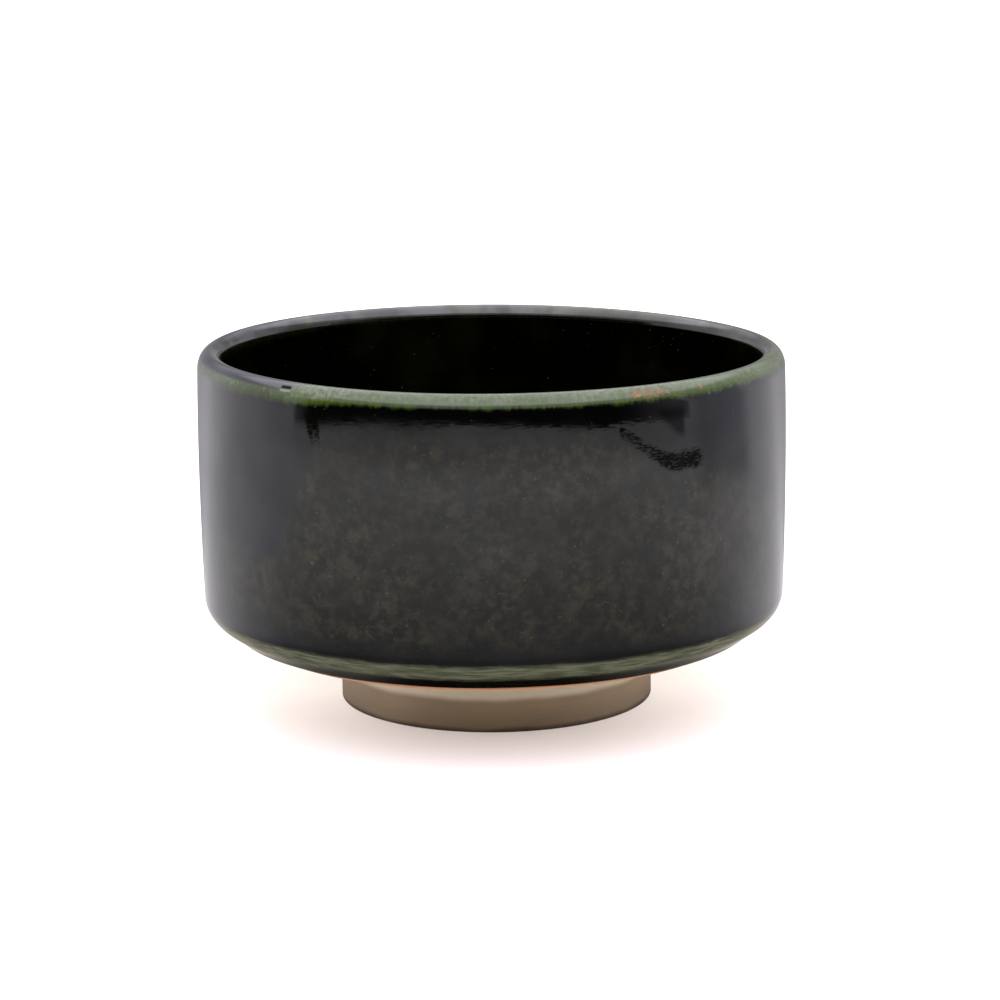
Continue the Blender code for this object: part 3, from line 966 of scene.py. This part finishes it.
# The table as the glaze mirrors it: distances from the bowl's axis and levels
MIRRORED_GREY = (1.0, 0.975, 1.02)
MIRRORED_UNDER_BOWL = (1.0, 0.92, 0.80)
UNDER_BOWL_SPAN = (0.05, 0.12)
NEAR_TABLE_SPAN = (0.07, 0.27)
FRONT_LEVELS = (0.26, 0.90)
FRONT_CREST_SPAN = (0.28, 0.34)
FRONT_CREST_LEVEL = 1.18
FRONT_FALL_SPAN = (0.36, 0.44)
FRONT_FALL_LEVEL = 0.68
FLANK_LEVELS = (1.05, 1.08)
REAR_SPAN = (0.10, 0.28)
REAR_LEVELS = (0.55, 0.95)
FRONT_TO_FLANK = (0.75, -0.35)
FLANK_TO_REAR = (-0.72, -0.92)
SHADOW_FRONT_SPAN = (0.045, 0.085)
SHADOW_FRONT_LEVEL = 0.06
SHADOW_FLANK_SPAN = (0.045, 0.110)
SHADOW_FLANK_LEVEL = 0.50
SHADOW_TURN = (0.70, 0.95)
TENT_SHADE_SPAN = (0.27, 0.33)

# The table's front end as mirrored: how far it reaches, its bow, its bends at both sides and its fade
TABLE_REACH = 0.556
REACH_BOW = 0.046
REACH_BOW_CENTRE = -0.35
REACH_LEFT_SPAN = (-0.70, -0.96)
REACH_LEFT_BEND = -0.034
REACH_RIGHT_SPAN = (0.64, 0.76)
REACH_RIGHT_BEND = 0.019
REACH_FADE_SPAN = (-0.15, -0.55)
REACH_FADES = (0.010, 0.05)


def bearing(s, direction):
    """Cosine of a level direction's angle from the camera's side, and its share to the right."""
    level = s.vector("NORMALIZE", s.vector("MULTIPLY", direction, (1, 1, 0)))
    parts = s.add("SeparateXYZ", {"Vector": level})
    return s.product(parts.outputs["Y"], -1.0), parts.outputs["X"]


def tent(s, forward, side):
    """The tent near the table: its wall's level, light and shade along it, a leak, and its opening."""
    right = s.rise(side, *LEFT_TO_RIGHT)
    wall = s.rise(forward, *BACK_WALL_SPAN, 1.0, BACK_WALL_LEVEL)
    left_glow = s.rise(forward, *LEFT_GLOW_SPAN, 1.0, LEFT_GLOW_LEVEL)
    right_shade = s.product(s.patch(forward, *RIGHT_SHADE_SPAN, RIGHT_SHADE_FADE), RIGHT_SHADE_DEPTH)
    shade = s.mix_value(right, left_glow, s.less(1.0, right_shade))
    leak = s.mix_value(right, s.rise(forward, *LEFT_LEAK_SPAN, 0.0, LEFT_LEAK_LEVEL),
                       s.rise(forward, *RIGHT_LEAK_SPAN, 0.0, RIGHT_LEAK_LEVEL))
    opening = s.rise(forward, OPENING_COSINE - OPENING_EDGE, OPENING_COSINE + OPENING_EDGE)
    return wall, shade, leak, opening


def make_world():
    """Light tent: bright roof, paler sides, dimmer back, dark open front; the camera sees white."""
    world = bpy.data.worlds.new("light_tent")
    bpy.context.scene.world = world
    world.use_nodes = True
    s = Nodes(world.node_tree)
    direction = s.add("TexCoord").outputs["Generated"]
    parts = s.add("SeparateXYZ", {"Vector": direction})
    across, back, up = parts.outputs["X"], parts.outputs["Y"], parts.outputs["Z"]
    wall, shade, leak, opening = tent(s, *bearing(s, direction))
    low = s.mix_value(opening, s.product(wall, shade), leak)
    level = s.mix_value(s.rise(up, *UPPER_WALL_SPAN), 1.0, low)
    roof = s.rise(back, *ROOF_DEPTH_SPAN, *ROOF_LEVELS)
    level = s.mix_value(s.rise(up, *ROOF_EDGE_SPAN), level, roof)
    ray = s.add("LightPath")
    side_fill = s.less(s.product(across, across, across, across, SIDE_FILL_GAIN), SIDE_FILL_DROP)
    side_fill = s.product(ray.outputs["Is Diffuse Ray"], s.rise(up, *SIDE_FILL_SPAN), side_fill)
    level = s.product(level, s.total(side_fill, 1.0))
    light = s.add("VectorMath", {0: WALL_GREY, "Scale": level}, operation="SCALE").outputs[0]
    shown = s.mix(ray.outputs["Is Camera Ray"], light, SEEN_WHITE)
    s.feed(world.node_tree.nodes["Background"].inputs["Color"], shown)


def mirrored_end(s, away, side):
    """Rises to 1 past the table's front end, a bowed edge, as the glaze shows it."""
    bow = s.math("POWER", s.math("ABSOLUTE", s.less(side, REACH_BOW_CENTRE)), 2.0)
    reach = s.less(TABLE_REACH, s.product(bow, REACH_BOW))
    reach = s.total(reach, s.rise(side, *REACH_LEFT_SPAN, 0.0, REACH_LEFT_BEND),
                    s.rise(side, *REACH_RIGHT_SPAN, 0.0, REACH_RIGHT_BEND))
    fade = s.rise(side, *REACH_FADE_SPAN, *REACH_FADES)
    return s.rise(away, s.less(reach, fade), reach)


def mirrored_table(s, place, away):
    """The table as the glaze shows it: dim and warm under the bowl, ending at the tent's open front."""
    forward, side = bearing(s, place)
    wall, shade, leak, opening = tent(s, forward, side)
    front = s.rise(away, *NEAR_TABLE_SPAN, *FRONT_LEVELS)
    front = s.product(front, s.rise(away, *FRONT_CREST_SPAN, 1.0, FRONT_CREST_LEVEL),
                      s.rise(away, *FRONT_FALL_SPAN, 1.0, FRONT_FALL_LEVEL))
    flank = s.rise(away, *NEAR_TABLE_SPAN, *FLANK_LEVELS)
    rear = s.rise(away, *REAR_SPAN, *REAR_LEVELS)
    glow = s.mix_value(s.rise(forward, *FRONT_TO_FLANK), front, flank)
    glow = s.mix_value(s.rise(forward, *FLANK_TO_REAR), glow, rear)
    under_front = s.rise(away, *SHADOW_FRONT_SPAN, SHADOW_FRONT_LEVEL, 1.0)
    under_flank = s.rise(away, *SHADOW_FLANK_SPAN, SHADOW_FLANK_LEVEL, 1.0)
    under = s.mix_value(s.rise(forward, *SHADOW_TURN), under_flank, under_front)
    shade = s.mix_value(s.rise(away, *TENT_SHADE_SPAN), 1.0, shade)
    glow = s.product(glow, under, wall, shade)
    strength = s.mix_value(s.product(opening, mirrored_end(s, away, side)), glow, leak)
    tone = s.mix(s.rise(away, *UNDER_BOWL_SPAN), MIRRORED_UNDER_BOWL, MIRRORED_GREY)
    return s.add("Emission", {"Color": tone, "Strength": strength})


def table_material():
    """Pale and plain to the camera, a soft bounce to dull surfaces, and its own picture to the glaze."""
    material = bpy.data.materials.new("table")
    material.use_nodes = True
    tree = material.node_tree
    tree.nodes.remove(tree.nodes["Principled BSDF"])
    s = Nodes(tree)
    place = s.add("TexCoord").outputs["Object"]
    forward, _ = bearing(s, place)
    ray = s.add("LightPath")

    lit = s.add("BsdfDiffuse", {"Color": TABLE_LIT})
    fill = s.total(s.product(s.less(1.0, forward), TABLE_GLOW_GAIN), TABLE_GLOW_BASE)
    fill = s.math("MINIMUM", fill, TABLE_GLOW_LIMIT)
    glow = s.add("Emission", {"Color": TABLE_GLOW, "Strength": fill})
    seen = s.add("AddShader", {0: lit.outputs[0], 1: glow.outputs[0]})

    bounced = s.add("BsdfDiffuse", {"Color": TABLE_BOUNCE})
    mirrored = mirrored_table(s, place, s.length(place))
    unseen = s.add("MixShader", {0: ray.outputs["Is Glossy Ray"], 1: bounced.outputs[0],
                                 2: mirrored.outputs[0]})
    both = s.add("MixShader", {0: ray.outputs["Is Camera Ray"], 1: unseen.outputs[0],
                               2: seen.outputs[0]})
    s.feed(tree.nodes["Material Output"].inputs["Surface"], both.outputs[0])
    return material


def make_floor():
    """Plain pale table with a soft warm shadow, strongest in front of the foot."""
    half = TABLE_HALF_WIDTH
    corners = [(-half, -half, 0), (half, -half, 0), (half, half, 0), (-half, half, 0)]
    mesh = bpy.data.meshes.new("table")
    mesh.from_pydata(corners, [], [(0, 1, 2, 3)])
    mesh.materials.append(table_material())
    floor = bpy.data.objects.new("table", mesh)
    bpy.context.scene.collection.objects.link(floor)


# Camera: its distance in front of the bowl's axis and its height, small turns in radians, lens in mm
CAMERA_DISTANCE = 629.4 * MM
CAMERA_HEIGHT = 173.3 * MM
CAMERA_PITCH = 0.2082
CAMERA_ROLL = 0.0114
CAMERA_YAW = 0.00233
CAMERA_LENS = 112.4


def make_camera():
    """Long lens a little above the lip, looking down into the bowl."""
    data = bpy.data.cameras.new("camera")
    data.lens = CAMERA_LENS
    camera = bpy.data.objects.new("camera", data)
    bpy.context.scene.collection.objects.link(camera)
    turn = Matrix.Rotation(-CAMERA_YAW, 4, "Z")
    look = Matrix.Rotation(QUARTER_TURN - CAMERA_PITCH, 4, "X")
    roll = Matrix.Rotation(-CAMERA_ROLL, 4, "Z")
    camera.matrix_world = Matrix.Translation((0, -CAMERA_DISTANCE, CAMERA_HEIGHT)) @ turn @ look @ roll
    bpy.context.scene.camera = camera


def build():
    """Every piece with its material, the studio round them and the camera."""
    glaze = glaze_material()
    make_clay_body(body_clay_material())
    make_foot_ring(foot_clay_material())
    make_luting_slip(slip_material())
    make_inner_glaze(glaze)
    make_outer_glaze(glaze)
    make_world()
    make_floor()
    make_camera()
    bpy.context.scene.view_settings.view_transform = "Standard"


build()
